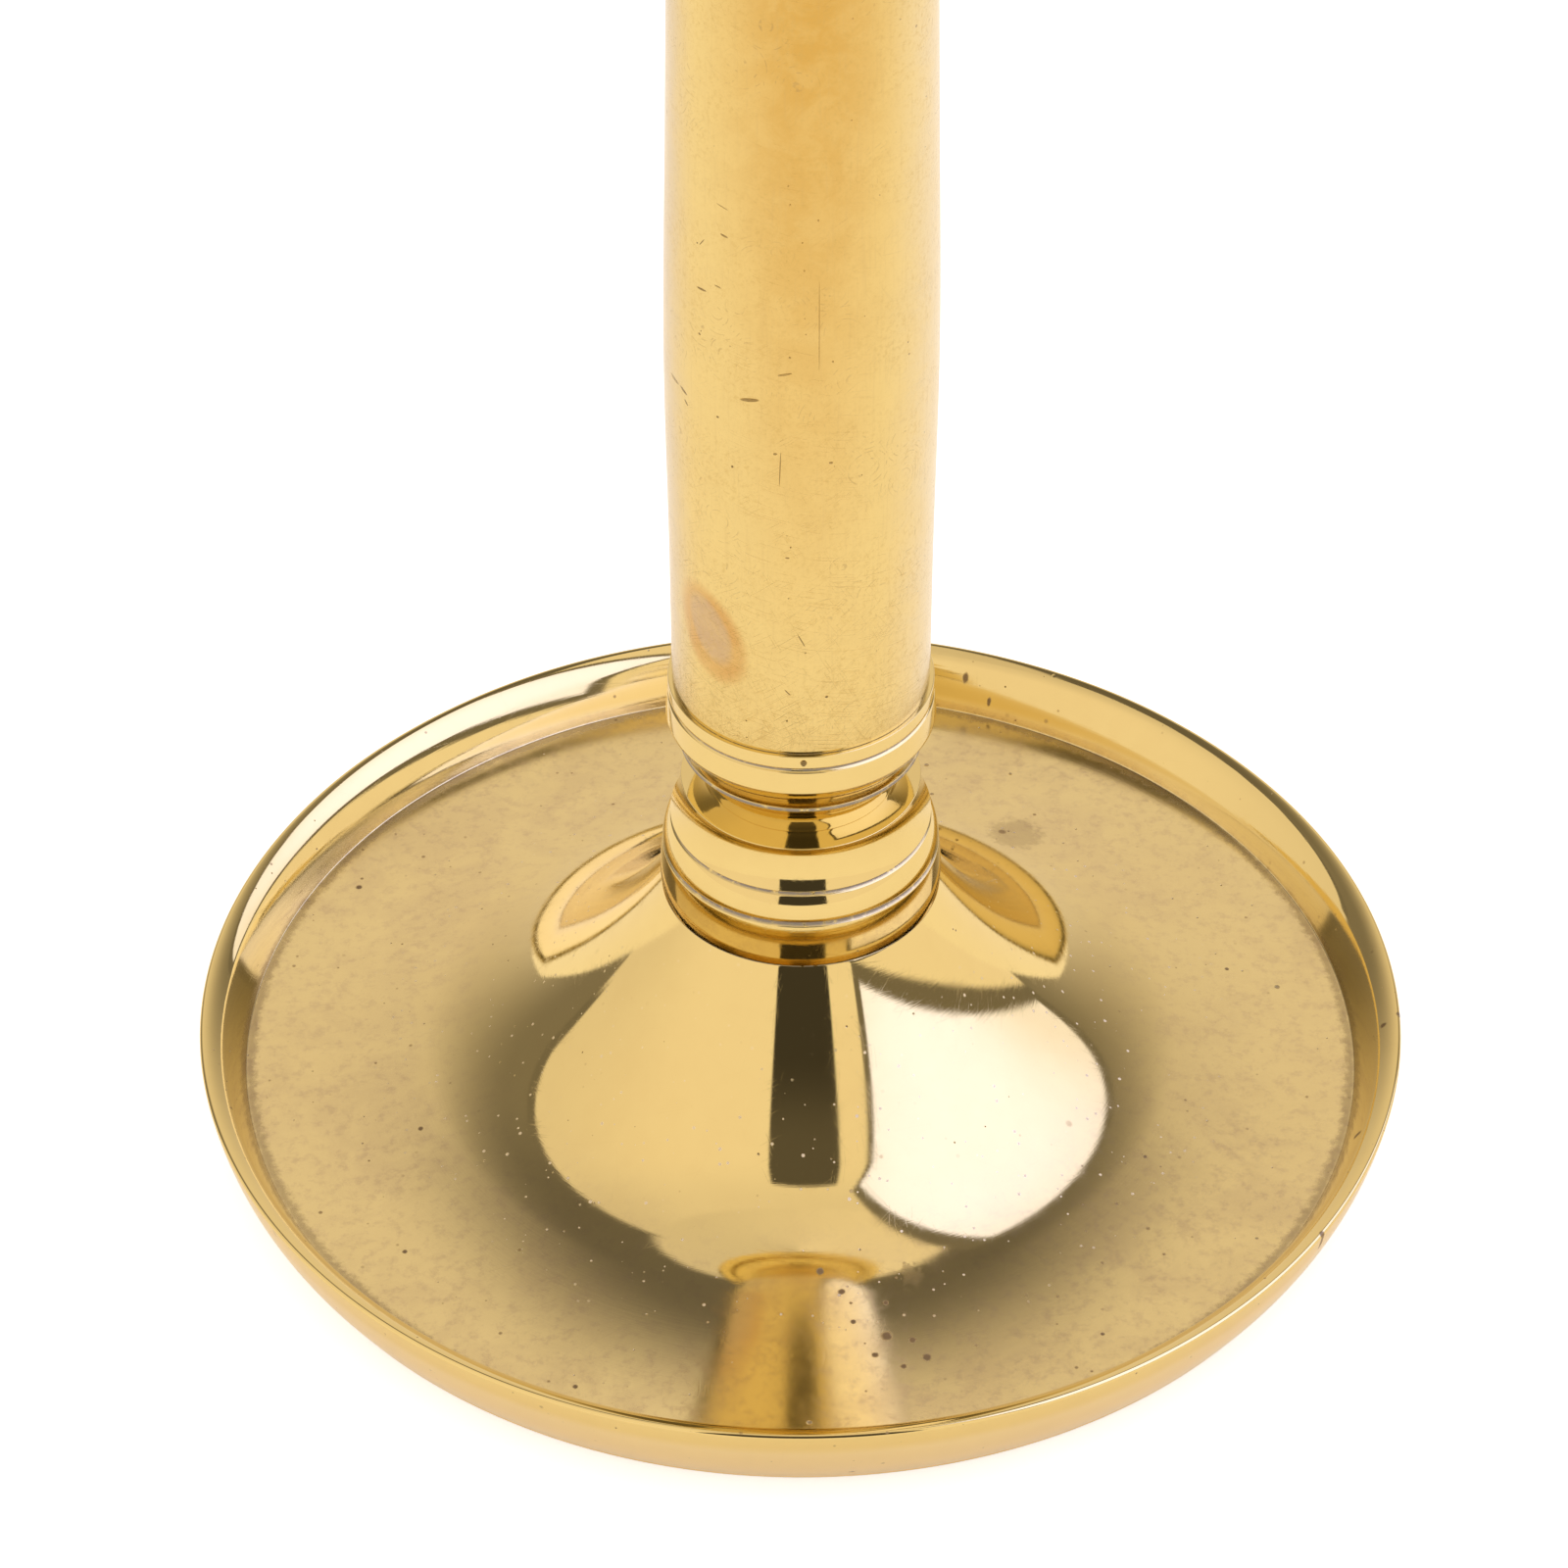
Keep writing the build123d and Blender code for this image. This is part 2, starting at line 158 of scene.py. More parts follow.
def groove(r, z, width, depth=0.35):
    """Cut groove with a round bottom, going down the outside of a piece. Ends on its lower edge."""
    half = width / 2
    steps = 8
    return [
        (r - depth * math.cos(math.pi / 2 * (-1 + 2 * i / steps)) ** 0.7, z + half - width * i / steps)
        for i in range(steps + 1)
    ]


def ease_corners(points, size):
    """Round off each corner of a closed outline over about this length of edge."""
    count = len(points)

    def turn(i):
        a, b, c = points[i - 1], points[i], points[(i + 1) % count]
        first = math.atan2(b[1] - a[1], b[0] - a[0])
        second = math.atan2(c[1] - b[1], c[0] - b[0])
        return abs((math.degrees(second - first) + 180) % 360 - 180)

    sharp = [i for i in range(count) if turn(i) > CORNER_TURN]
    if not sharp:
        return points
    reach = {}
    lengths = [math.dist(points[i], points[(i + 1) % count]) for i in range(count)]
    for place, i in enumerate(sharp):
        after, before = sharp[(place + 1) % len(sharp)], sharp[place - 1]
        ahead = sum(lengths[k % count] for k in range(i, i + (after - i - 1) % count + 1))
        behind = sum(lengths[k % count] for k in range(before, before + (i - before - 1) % count + 1))
        reach[i] = min(size, 0.45 * ahead, 0.45 * behind)

    def walk(i, step, distance):
        """The point this far along the outline, and how many points it passes."""
        here, passed = points[i], 0
        while True:
            following = points[(i + step * (passed + 1)) % count]
            gap = math.dist(here, following)
            if gap >= distance:
                t = distance / gap
                return tuple(a + (b - a) * t for a, b in zip(here, following)), passed
            distance -= gap
            here = following
            passed += 1

    dropped, inserted = set(), {}
    for i in sharp:
        entry, passed = walk(i, -1, reach[i])
        dropped.update((i - k) % count for k in range(passed + 1))
        leave, passed = walk(i, 1, reach[i])
        dropped.update((i + k) % count for k in range(passed + 1))
        corner = points[i]
        inserted[i] = [
            tuple((1 - t) ** 2 * a + 2 * t * (1 - t) * b + t * t * c
                  for a, b, c in zip(entry, corner, leave))
            for t in (0.0, 0.2, 0.4, 0.6, 0.8, 1.0)
        ]
    eased = []
    for i, p in enumerate(points):
        if i in inserted:
            eased += inserted[i]
        elif i not in dropped:
            eased.append(p)
    return eased


# ---------------------------------------------------------------- meshes

def mesh_object(name, verts, faces):
    mesh = bpy.data.meshes.new(name)
    mesh.from_pydata(verts, [], faces)
    mesh.validate()
    mesh.shade_smooth()
    obj = bpy.data.objects.new(name, mesh)
    bpy.context.scene.collection.objects.link(obj)
    return obj


def turned(name, node, outline, ease, shape=None):
    """Spin a closed outline round the stem's axis, standing where the CAD node stands.

    ease is the size of the rounding of its corners. shape(r, azimuth, z) may move a point; its azimuth
    is in radians.
    """
    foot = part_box(node)[0][2] / MM
    lift = foot - min(z for _, z in outline)
    outline = ease_corners([(r, z + lift) for r, z in outline], ease)
    count = len(outline)
    verts = []
    for s in range(SEGMENTS):
        azimuth = 2 * math.pi * s / SEGMENTS
        sin_a, cos_a = math.sin(azimuth), math.cos(azimuth)
        for r, z in outline:
            if shape:
                r, z = shape(r, azimuth, z)
            verts.append((r * sin_a * MM, -r * cos_a * MM, z * MM))
    area = sum(
        a[0] * b[1] - b[0] * a[1] for a, b in zip(outline, outline[1:] + outline[:1])
    )
    faces = []
    for s in range(SEGMENTS):
        here, there = s * count, (s + 1) % SEGMENTS * count
        for i in range(count):
            j = (i + 1) % count
            quad = (here + i, there + i, there + j, here + j)
            faces.append(quad if area > 0 else quad[::-1])
    obj = mesh_object(name, verts, faces)
    obj.data.set_sharp_from_angle(angle=HARD_EDGE)
    return obj


# ---------------------------------------------------------------- shader helpers

class Graph:
    """Short names for building a node tree."""

    def __init__(self, tree):
        self.tree = tree
        self.tree.nodes.clear()

    def node(self, kind, inputs=(), **settings):
        made = self.tree.nodes.new(kind)
        for key, value in settings.items():
            setattr(made, key, value)
        pairs = inputs.items() if isinstance(inputs, dict) else enumerate(inputs)
        for key, value in pairs:
            self.put(made.inputs[key], value)
        return made

    def put(self, socket, value):
        if isinstance(value, bpy.types.NodeSocket):
            self.tree.links.new(value, socket)
        elif value is not None:
            socket.default_value = value

    def math(self, operation, a, b=None):
        made = self.node("ShaderNodeMath", operation=operation)
        for socket, value in zip(made.inputs, (a, b)):
            self.put(socket, value)
        return made.outputs[0]

    def vector(self, operation, a, b=None, scale=None):
        made = self.node("ShaderNodeVectorMath", operation=operation)
        self.put(made.inputs[0], a)
        self.put(made.inputs[1], b)
        if scale is not None:
            self.put(made.inputs["Scale"], scale)
        scalar = operation in ("DOT_PRODUCT", "LENGTH", "DISTANCE")
        return made.outputs["Value" if scalar else "Vector"]

    def combine(self, x, y, z):
        return self.node("ShaderNodeCombineXYZ", (x, y, z)).outputs[0]

    def ramp(self, value, low, high, out_low=0.0, out_high=1.0, smooth=True):
        made = self.node("ShaderNodeMapRange", interpolation_type="SMOOTHSTEP" if smooth else "LINEAR")
        made.clamp = True
        for key, v in zip(("Value", "From Min", "From Max", "To Min", "To Max"),
                          (value, low, high, out_low, out_high)):
            self.put(made.inputs[key], v)
        return made.outputs["Result"]

    def noise(self, where, scale, detail=2.0, rough=0.5, distortion=0.0):
        made = self.node("ShaderNodeTexNoise", {
            "Vector": where, "Scale": scale, "Detail": detail, "Roughness": rough,
            "Distortion": distortion})
        return made.outputs["Fac"]

    def mix_color(self, factor, a, b, blend="MIX"):
        made = self.node("ShaderNodeMix", data_type="RGBA", blend_type=blend)
        self.put(made.inputs[0], factor)
        self.put(made.inputs[6], a)
        self.put(made.inputs[7], b)
        return made.outputs[2]

    def mix(self, factor, a, b):
        made = self.node("ShaderNodeMix", data_type="FLOAT")
        self.put(made.inputs[0], factor)
        self.put(made.inputs[2], a)
        self.put(made.inputs[3], b)
        return made.outputs[0]

    def highest(self, values):
        result = values[0]
        for value in values[1:]:
            result = self.math("MAXIMUM", result, value)
        return result


# ---------------------------------------------------------------- studio

def direction(azimuth, elevation):
    a, e = math.radians(azimuth), math.radians(elevation)
    return Vector((math.sin(a) * math.cos(e), -math.cos(a) * math.cos(e), math.sin(e)))


def edge_normal(first, second):
    """Normal of the plane through the eye and a straight card edge; the card lies on its + side."""
    return direction(*first).cross(direction(*second)).normalized()


def card(g, look, corner_list, soft=0.02):
    """Mask of a flat card seen from the object; its corners go anticlockwise as seen from inside."""
    mask = None
    for first, second in zip(corner_list, corner_list[1:] + corner_list[:1]):
        side = g.vector("DOT_PRODUCT", look, tuple(edge_normal(first, second)))
        inside = g.ramp(side, -soft, soft)
        mask = inside if mask is None else g.math("MULTIPLY", mask, inside)
    return mask


# corners of the studio's cards as (azimuth, elevation), anticlockwise as seen from the object
SOFTBOX_FRAME = [(37.5, 15.5), (131, 2.0), (144, 67.5), (28, 63.5)]
SOFTBOX_FRONT = [(41.0, 19.5), (129, 6.0), (139, 65.0), (31.0, 61.0)]
CAMERA_CARD = [(-17, -6), (20, -6), (19, 61), (-14.5, 61)]
LEFT_POST, RIGHT_POST = 120.0, 130.5  # how far round the walls behind begin
BLACK_TONE = 0.20
TABLE_TONE = 0.95
PANEL_TINT = (1.10, 0.95, 0.83)
SOFTBOX_EDGE_GLOW = (1.24, 1.20, 1.65, 1)
SOFTBOX_CENTRE_GLOW = (1.55, 1.60, 2.85, 1)


def studio_world():
    """A white tent with a softbox, a dark card where the camera stands, and darker gaps behind."""
    world = bpy.data.worlds.new("studio")
    world.use_nodes = True
    bpy.context.scene.world = world
    world.cycles.sampling_method = "NONE"
    g = Graph(world.node_tree)
    look = g.vector("NORMALIZE", g.node("ShaderNodeTexCoord").outputs["Generated"])
    xyz = g.node("ShaderNodeSeparateXYZ", (look,))
    x, y, z = xyz.outputs
    azimuth = g.math("ARCTAN2", x, g.math("MULTIPLY", y, -1.0))
    azimuth = g.math("MULTIPLY", azimuth, 180 / math.pi)
    elevation = g.math("MULTIPLY", g.math("ARCSINE", z), 180 / math.pi)

    # cream panel from the left round to the front
    value = g.ramp(azimuth, -119, -60, 0.87, 1.0)
    value = g.math("MULTIPLY", value, g.ramp(elevation, 48, 70, 1.0, 0.88))
    # walls behind: dark beside the posts, lighter in the middle, and dark again under the ceiling
    away = g.math("ABSOLUTE", azimuth)
    right = g.math("GREATER_THAN", azimuth, 0.0)
    post = g.mix(right, LEFT_POST, RIGHT_POST)
    behind = g.ramp(g.math("SUBTRACT", away, post), -0.6, 0.6)
    wall = g.ramp(away, 128, 168, 0.24, 0.84)
    wall = g.mix(g.ramp(elevation, g.ramp(away, 140, 170, 34, 48), 63), wall, 0.16)
    value = g.mix(behind, value, wall)
    thin_post = g.math("MULTIPLY", g.ramp(azimuth, -121.5, -120.5), g.ramp(azimuth, -117.5, -118.5))
    value = g.mix(g.math("MULTIPLY", thin_post, g.ramp(elevation, 4, 8)), value, BLACK_TONE)
    # ceiling
    ceiling = g.ramp(azimuth, -120, 90, 0.76, 0.95)
    ceiling_edge = g.mix(behind, 72.0, 71.0)
    value = g.mix(g.ramp(g.math("SUBTRACT", elevation, ceiling_edge), -1.0, 1.0), value, ceiling)
    # softbox: dark frame, then its glowing front
    value = g.mix(card(g, look, SOFTBOX_FRAME, 0.006), value, BLACK_TONE)
    front_mask = card(g, look, SOFTBOX_FRONT, 0.008)
    # camera and photographer
    camera_mask = card(g, look, CAMERA_CARD, 0.008)
    value = g.mix(camera_mask, value, g.ramp(elevation, 34, 50, 0.055, 0.115))
    # the table below
    value = g.mix(g.ramp(elevation, 0.0, -2.0), value, TABLE_TONE)
    tint = g.combine(*(g.math("MULTIPLY", value, part) for part in PANEL_TINT))
    nearness = g.vector("DOT_PRODUCT", look, tuple(direction(78, 44)))
    glow = g.mix_color(g.ramp(nearness, 0.6, 1.0), SOFTBOX_EDGE_GLOW, SOFTBOX_CENTRE_GLOW)
    tint = g.mix_color(front_mask, tint, glow)

    # the camera and the white table see a plain white room
    path = g.node("ShaderNodeLightPath")
    flat = g.math("MAXIMUM", path.outputs["Is Camera Ray"], path.outputs["Is Diffuse Ray"])
    tint = g.mix_color(flat, tint, (1, 1, 1, 1))
    background = g.node("ShaderNodeBackground", {"Color": tint, "Strength": 1.0})
    output = g.node("ShaderNodeOutputWorld")
    g.put(output.inputs[0], background.outputs[0])


def studio_floor():
    """A plain white table top, a hair below the foot ring so that the two never share a plane."""
    half = 3.0
    ends = [(-half, -half, 0), (half, -half, 0), (half, half, 0), (-half, half, 0)]
    obj = mesh_object("table_top", ends, [(0, 1, 2, 3)])
    obj.location.z = -0.05 * MM
    material = bpy.data.materials.new("table_white")
    material.use_nodes = True
    g = Graph(material.node_tree)
    path = g.node("ShaderNodeLightPath")
    mirrored = path.outputs["Is Glossy Ray"]
    color = g.mix_color(mirrored, (0.93, 0.93, 0.93, 1), (0.98, 0.86, 0.74, 1))
    lit = g.node("ShaderNodeBsdfDiffuse", {"Color": color})
    lift = g.math("ADD", g.math("MULTIPLY", path.outputs["Is Camera Ray"], 0.5),
                  g.math("MULTIPLY", mirrored, 0.18))
    lift = g.node("ShaderNodeEmission", {"Color": color, "Strength": lift})
    both = g.node("ShaderNodeAddShader", (lit.outputs[0], lift.outputs[0]))
    output = g.node("ShaderNodeOutputMaterial")
    g.put(output.inputs[0], both.outputs[0])
    obj.data.materials.append(material)


# ---------------------------------------------------------------- materials

BRASS = (0.80, 0.645, 0.275, 1)
OLD_BRASS = (0.66, 0.48, 0.19, 1)
SCRATCH = (0.40, 0.28, 0.12, 1)
PIT = (0.16, 0.10, 0.045, 1)
RESIDUE = (0.27, 0.22, 0.21, 1)       # dried polish
TARNISH = 0.15                        # share of old brass in the darkest clouds
BUMP_DEPTH = 0.02 * MM

# (turn in degrees, length, width) of four families of hairline scratches
HAIRLINES = ((12, 7.0, 0.10), (-38, 5.0, 0.08), (63, 6.0, 0.09), (96, 9.0, 0.08))


def turned_place(g):
    """Place on a turned piece in mm, then its radius, its azimuth in radians and its height."""
    where = g.vector("SCALE", g.node("ShaderNodeTexCoord").outputs["Object"], scale=1000.0)
    x, y, z = g.node("ShaderNodeSeparateXYZ", (where,)).outputs
    flat = g.combine(x, y, 0.0)
    radius = g.vector("LENGTH", flat)
    angle = g.math("ARCTAN2", x, g.math("MULTIPLY", y, -1.0))
    return where, radius, angle, z


def spots(g, where, spacing, size, chance):
    """Scattered round spots, size mm across at most, on about this share of a grid of cells."""
    cells = g.node("ShaderNodeTexVoronoi", {"Vector": where, "Scale": 1.0 / spacing}, feature="F1")
    pick, grade, _ = g.node("ShaderNodeSeparateColor", (cells.outputs["Color"],)).outputs
    reach = g.math("MULTIPLY", grade, size / spacing / 2)
    reach = g.math("ADD", reach, size / spacing / 8)
    spot = g.ramp(cells.outputs["Distance"], reach, g.math("MULTIPLY", reach, 0.45))
    return g.math("MULTIPLY", spot, g.math("LESS_THAN", pick, chance))


def hairlines(g, where, angle, length, width, seed):
    """Thin scratches, all at about one angle in the plane of a turned surface, in mm."""
    turned_by = g.node("ShaderNodeVectorRotate", {"Vector": where, "Angle": math.radians(angle)},
                       rotation_type="Z_AXIS").outputs[0]
    bent = g.vector("ADD", turned_by, g.combine(
        0.0, g.math("MULTIPLY", g.noise(where, 0.12 + 0.01 * seed, 1.0), length * 0.15), 3.7 * seed))
    stretched = g.vector("MULTIPLY", bent, (1.0 / length, 1.0 / width, 1.0 / length))
    value = g.noise(stretched, 1.0, 1.0, 0.4)
    return g.ramp(value, 0.66, 0.74)


def mark(g, along, up, azimuth, height, length, width, tilt):
    """One gouge or spot at an azimuth (degrees) and height (mm) on the stem."""
    across = g.math("SUBTRACT", along, math.radians(azimuth) * STEM_MEAN_R)
    rise = g.math("SUBTRACT", up, height)
    c, s = math.cos(math.radians(tilt)), math.sin(math.radians(tilt))
    u = g.math("ADD", g.math("MULTIPLY", across, c), g.math("MULTIPLY", rise, s))
    v = g.math("SUBTRACT", g.math("MULTIPLY", rise, c), g.math("MULTIPLY", across, s))
    u = g.math("DIVIDE", u, length / 2)
    v = g.math("DIVIDE", v, width / 2)
    size = g.math("ADD", g.math("MULTIPLY", u, u), g.math("MULTIPLY", v, v))
    return g.ramp(size, 1.15, 0.55)


def finish(g, color, rough, metallic, bump_height, bump_depth):
    """End a material's graph with its shader; bump_depth is in metres."""
    bump = g.node("ShaderNodeBump", {"Strength": 1.0, "Distance": bump_depth, "Height": bump_height})
    shader = g.node("ShaderNodeBsdfPrincipled", {
        "Base Color": color, "Metallic": metallic, "Roughness": rough, "Normal": bump.outputs[0]})
    output = g.node("ShaderNodeOutputMaterial")
    g.put(output.inputs[0], shader.outputs[0])


def brass(name, gloss, scratches, pits, turning, residue, dull=0.0, marks=(), stain=None, extra=None):
    """Old polished brass on a turned piece.

    gloss: base roughness. dull: extra roughness out on the saucer's floor.
    scratches, pits, turning: how strong the scratches, the pits and the lathe's lines are, from 0 to 1.
    residue: (height, spread) of joint lines that hold dried polish.
    marks: (azimuth, height, length, width, tilt) of single gouges on the stem.
    stain: (azimuth, height, width, length, tilt) of one brown stain on the stem.
    extra: function that adds one piece's own wear to the colour and the roughness; on the stem it also
    paints reflection and shade into the colour.
    """
    material = bpy.data.materials.new(name)
    material.use_nodes = True
    g = Graph(material.node_tree)
    where, radius, angle, up = turned_place(g)
    along = g.math("MULTIPLY", angle, STEM_MEAN_R)
    sheet = g.combine(along, up, radius)

    # broad, faint differences of tone and polish
    cloud = g.noise(where, 0.045, 3.0, 0.55)
    fine_cloud = g.noise(where, 0.35, 3.0, 0.6)
    tone = g.ramp(g.math("ADD", g.math("MULTIPLY", cloud, 0.7), g.math("MULTIPLY", fine_cloud, 0.3)),
                  0.38, 0.68)
    color = g.mix_color(g.math("MULTIPLY", tone, TARNISH), BRASS, OLD_BRASS)

    # fine lines left by the lathe, across which the metal looks softer
    rings = g.combine(g.math("MULTIPLY", radius, 5.0), g.math("MULTIPLY", up, 5.0),
                      g.math("MULTIPLY", angle, 0.35))
    lathe_lines = g.noise(rings, 1.0, 3.0, 0.65)

    # random hairline scratches
    lines = [hairlines(g, sheet, *family, seed) for seed, family in enumerate(HAIRLINES)]
    scratch = g.math("MULTIPLY", g.highest(lines), g.ramp(fine_cloud, 0.35, 0.65, 0.25, 1.0))

    # dark pits
    small_pits = spots(g, where, 1.7, 0.28, 0.35 * pits)
    large_pits = spots(g, where, 5.5, 0.75, 0.30 * pits)
    pit = g.math("MAXIMUM", small_pits, large_pits)

    if marks:
        gouges = g.highest([mark(g, along, up, *m) for m in marks])
        pit = g.math("MAXIMUM", pit, gouges)

    color = g.mix_color(g.math("MULTIPLY", scratch, 0.45 * scratches), color, SCRATCH)
    color = g.mix_color(g.math("MULTIPLY", pit, 0.8), color, PIT)
    rough = g.math("ADD", g.math("MULTIPLY", tone, 0.05), gloss)
    rough = g.math("ADD", rough, g.math("MULTIPLY", pit, 0.35))
    rough = g.math("ADD", rough, g.math("MULTIPLY", scratch, 0.10 * scratches))
    if dull:
        out = g.math("MULTIPLY", g.ramp(radius, 40, 58), g.ramp(radius, 69.6, 69.2))
        out = g.math("MULTIPLY", out, g.ramp(g.math("ABSOLUTE", angle), 0.10, 0.45, 0.35, 1.0))
        rough = g.math("ADD", rough, g.math("MULTIPLY", out, dull))
    film = g.highest([
        g.ramp(g.math("ABSOLUTE", g.math("SUBTRACT", up, height)), spread, spread * 0.25)
        for height, spread in residue
    ])
    film = g.math("MULTIPLY", film, g.ramp(g.noise(where, 0.9, 3.0, 0.6), 0.25, 0.50))
    color = g.mix_color(g.math("MULTIPLY", film, 0.85), color, RESIDUE)
    rough = g.math("ADD", rough, g.math("MULTIPLY", film, 0.5))
    metallic = g.mix(film, 1.0, 0.25)
    if stain:
        azimuth, height, wide, tall, tilt = stain
        oval = mark(g, along, up, azimuth, height, tall, wide, tilt)
        core = mark(g, along, up, azimuth, height + 0.6, tall * 0.7, wide * 0.6, tilt)
        color = g.mix_color(g.math("MULTIPLY", oval, 0.72), color, (0.62, 0.34, 0.10, 1))
        color = g.mix_color(g.math("MULTIPLY", core, 0.65), color, (0.55, 0.43, 0.30, 1))
    if extra:
        color, rough = extra(g, color, rough, where, radius, angle, up)

    height = g.math("MULTIPLY", lathe_lines, turning)
    height = g.math("SUBTRACT", height, g.math("MULTIPLY", scratch, 0.5 * scratches))
    height = g.math("SUBTRACT", height, g.math("MULTIPLY", pit, 2.0))
    finish(g, color, rough, metallic, height, BUMP_DEPTH)
    return material


def away_from(g, where, r, azimuth):
    """Distance in mm, seen from above, from a place on the saucer."""
    a = math.radians(azimuth)
    flat = g.vector("MULTIPLY", where, (1.0, 1.0, 0.0))
    return g.vector("DISTANCE", flat, (r * math.sin(a), -r * math.cos(a), 0.0))


def saucer_wear(g, color, rough, where, radius, angle, up):
    """Brown mottling and dust on the floor, a paler outside, darker along the crease, spots and
    blotches.
    """
    floor_mask = g.math("MULTIPLY", g.ramp(radius, 33, 52), g.ramp(radius, 70.4, 69.4))
    patches = g.ramp(g.noise(where, 0.09, 4.0, 0.62, 0.8), 0.40, 0.66)
    grain = g.ramp(g.noise(where, 0.60, 4.0, 0.70), 0.46, 0.70)
    brown = g.math("ADD", g.math("MULTIPLY", patches, 0.28), g.math("MULTIPLY", grain, 0.42))
    brown = g.math("MULTIPLY", brown, floor_mask)
    color = g.mix_color(g.math("MULTIPLY", floor_mask, 0.30), color, (0.80, 0.68, 0.40, 1))
    color = g.mix_color(brown, color, (0.60, 0.46, 0.26, 1))
    rough = g.math("ADD", rough, g.math("MULTIPLY", brown, 0.10))

    # this slanting line runs up inside the wall's metal, between its two faces
    mid_wall = g.math("ADD", g.math("MULTIPLY", up, 0.35), 69.5)
    outside = g.ramp(g.math("SUBTRACT", radius, mid_wall), -0.3, 0.3)
    outside = g.math("MULTIPLY", outside, g.ramp(up, 9.5, 7.5))
    outside = g.math("MULTIPLY", outside, g.ramp(radius, 74.0, 70.8, 0.4, 0.6))
    color = g.mix_color(outside, color, (0.90, 0.79, 0.53, 1))

    dust = g.math("MULTIPLY", spots(g, where, 1.3, 0.50, 0.55), g.ramp(radius, 19, 33, 0.15, 0.9))
    dust = g.math("MULTIPLY", dust, g.ramp(radius, 58, 46))
    color = g.mix_color(g.math("MULTIPLY", dust, 0.8), color, (0.92, 0.82, 0.60, 1))
    rough = g.math("ADD", rough, g.math("MULTIPLY", dust, 0.65))

    specks = g.math("MAXIMUM", spots(g, where, 1.9, 0.55, 0.30), spots(g, where, 6.5, 1.1, 0.30))
    specks = g.math("MULTIPLY", specks, g.ramp(radius, 24, 48, 0.15, 1.0))
    specks = g.math("MULTIPLY", specks, g.ramp(g.noise(where, 0.07, 2.0, 0.5), 0.36, 0.60, 0.25, 1.0))
    color = g.mix_color(g.math("MULTIPLY", specks, 0.75), color, (0.33, 0.22, 0.10, 1))
    rough = g.math("ADD", rough, g.math("MULTIPLY", specks, 0.25))

    ragged = g.math("MULTIPLY", g.math("SUBTRACT", g.noise(where, 1.1, 3.0, 0.6), 0.5), 2.2)
    from_crease = g.math("ABSOLUTE", g.math("SUBTRACT", radius, CREASE_R))
    # darker in a ragged ring just inside the crease where the floor meets the wall
    crease_darkening = g.ramp(g.math("ADD", from_crease, ragged), 1.3, 0.1)
    crease_darkening = g.math("MULTIPLY", crease_darkening, g.ramp(radius, 69.7, 69.4))
    marks = [g.math("MULTIPLY", crease_darkening, 0.45)]
    for r, azimuth, size in SAUCER_SPOTS:
        off = g.math("ADD", away_from(g, where, r, azimuth), g.math("MULTIPLY", ragged, 0.35 * size))
        marks.append(g.ramp(off, size, size * 0.45))
    for r, azimuth, size in SAUCER_BLOTCHES:
        off = g.math("ADD", away_from(g, where, r, azimuth), g.math("MULTIPLY", ragged, 2.0))
        marks.append(g.math("MULTIPLY", g.ramp(off, size, size * 0.6), 0.32))
    stains_and_crease_darkening = g.highest(marks)
    color = g.mix_color(g.math("MULTIPLY", stains_and_crease_darkening, 0.85), color, (0.20, 0.13, 0.07, 1))
    rough = g.math("ADD", rough, g.math("MULTIPLY", stains_and_crease_darkening, 0.35))
    return color, rough


